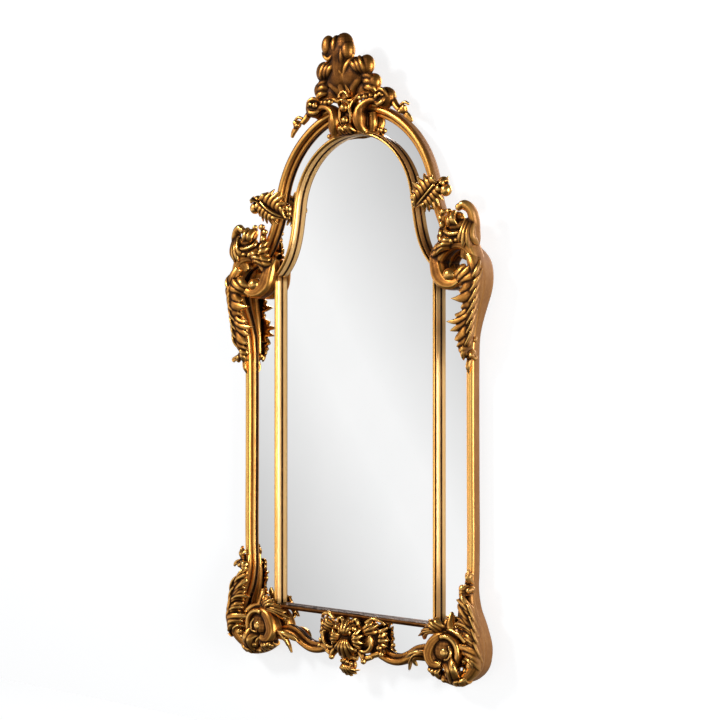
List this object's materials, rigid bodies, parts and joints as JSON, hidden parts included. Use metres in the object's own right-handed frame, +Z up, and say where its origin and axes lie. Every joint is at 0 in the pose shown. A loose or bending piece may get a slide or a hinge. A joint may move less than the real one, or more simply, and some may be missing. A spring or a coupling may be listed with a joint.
{
  "type": "rococo margin-frame wall mirror",
  "caption": "Tall wall mirror with a round-arched top, narrow mirror margins between inner and outer gilt mouldings, scrolled shoulders and feet, and a plumed carved crest.",
  "frame": {"origin": "point on the wall plane, which the rear faces of the four wall pads touch, on the mirror's vertical centre line and 0.88 m above the lowest point of the carved drop", "axes": "+X to the viewer's right along the width, +Z up along the height, +Y back towards the wall; the mirror faces -Y"},
  "size_m": [0.984, 0.1023, 1.8849],
  "materials": {
    "gilt_moulding": "antique gold leaf on moulded composition, burnished on the bead, rubbed dark in the grooves",
    "gilt_outer_moulding": "antique gold paint, matt bronze-brown on the outer sides",
    "gilt_carving": "antique gold leaf, bright on the high points, umber in the hollows",
    "mirror_glass": "silvered float glass with a clean ground edge",
    "back_board": "raw medium-density fibreboard",
    "hanger_steel": "zinc-plated steel",
    "pad_rubber": "matt black rubber"
  },
  "bodies": {
    "frame": {"inner_stile_left": "gilt_moulding", "inner_stile_right": "gilt_moulding", "inner_arch_left": "gilt_moulding", "inner_arch_right": "gilt_moulding", "inner_bottom_rail": "gilt_moulding", "outer_arch_left": "gilt_outer_moulding", "outer_arch_right": "gilt_outer_moulding", "outer_stile_left": "gilt_outer_moulding", "outer_stile_right": "gilt_outer_moulding", "bottom_rail_left": "gilt_outer_moulding", "bottom_rail_right": "gilt_outer_moulding", "arch_leaf_left": "gilt_carving", "arch_leaf_right": "gilt_carving", "shoulder_curl_left": "gilt_carving", "shoulder_curl_right": "gilt_carving", "shoulder_scroll_left": "gilt_carving", "shoulder_scroll_right": "gilt_carving", "shoulder_boss_left": "gilt_carving", "shoulder_boss_right": "gilt_carving", "side_acanthus_left": "gilt_carving", "side_acanthus_right": "gilt_carving", "corner_scroll_left": "gilt_carving", "corner_scroll_right": "gilt_carving", "corner_boss_left": "gilt_carving", "corner_boss_right": "gilt_carving", "corner_acanthus_left": "gilt_carving", "corner_acanthus_right": "gilt_carving", "corner_leaf_left": "gilt_carving", "corner_leaf_right": "gilt_carving", "crest_shell_left": "gilt_carving", "crest_shell_right": "gilt_carving", "crest_spray_left": "gilt_carving", "crest_spray_right": "gilt_carving", "crest_plume": "gilt_carving", "crest_collar": "gilt_carving", "cartouche": "gilt_carving", "cartouche_shell": "gilt_carving", "center_mirror": "mirror_glass", "arch_mirror_left": "mirror_glass", "arch_mirror_right": "mirror_glass", "side_mirror_left": "mirror_glass", "side_mirror_right": "mirror_glass", "bottom_mirror_left": "mirror_glass", "bottom_mirror_right": "mirror_glass", "back_board": "back_board", "hanger_strap_left": "hanger_steel", "hanger_strap_right": "hanger_steel", "hanger_screw_left_1": "hanger_steel", "hanger_screw_left_2": "hanger_steel", "hanger_screw_right_1": "hanger_steel", "hanger_screw_right_2": "hanger_steel", "wall_pad_upper_left": "pad_rubber", "wall_pad_upper_right": "pad_rubber", "wall_pad_lower_left": "pad_rubber", "wall_pad_lower_right": "pad_rubber"},
    "ring_left": {"hanger_ring_left": "hanger_steel"},
    "ring_right": {"hanger_ring_right": "hanger_steel"}
  },
  "joints": [
    {"name": "ring_left_swing", "type": "hinge", "parent": "frame", "child": "ring_left", "pos_m": [-0.24, -0.0055, 0.36], "axis": [1, 0, 0], "range_deg": [0, 180]},
    {"name": "ring_right_swing", "type": "hinge", "parent": "frame", "child": "ring_right", "pos_m": [0.24, -0.0055, 0.36], "axis": [1, 0, 0], "range_deg": [0, 180]}
  ]
}
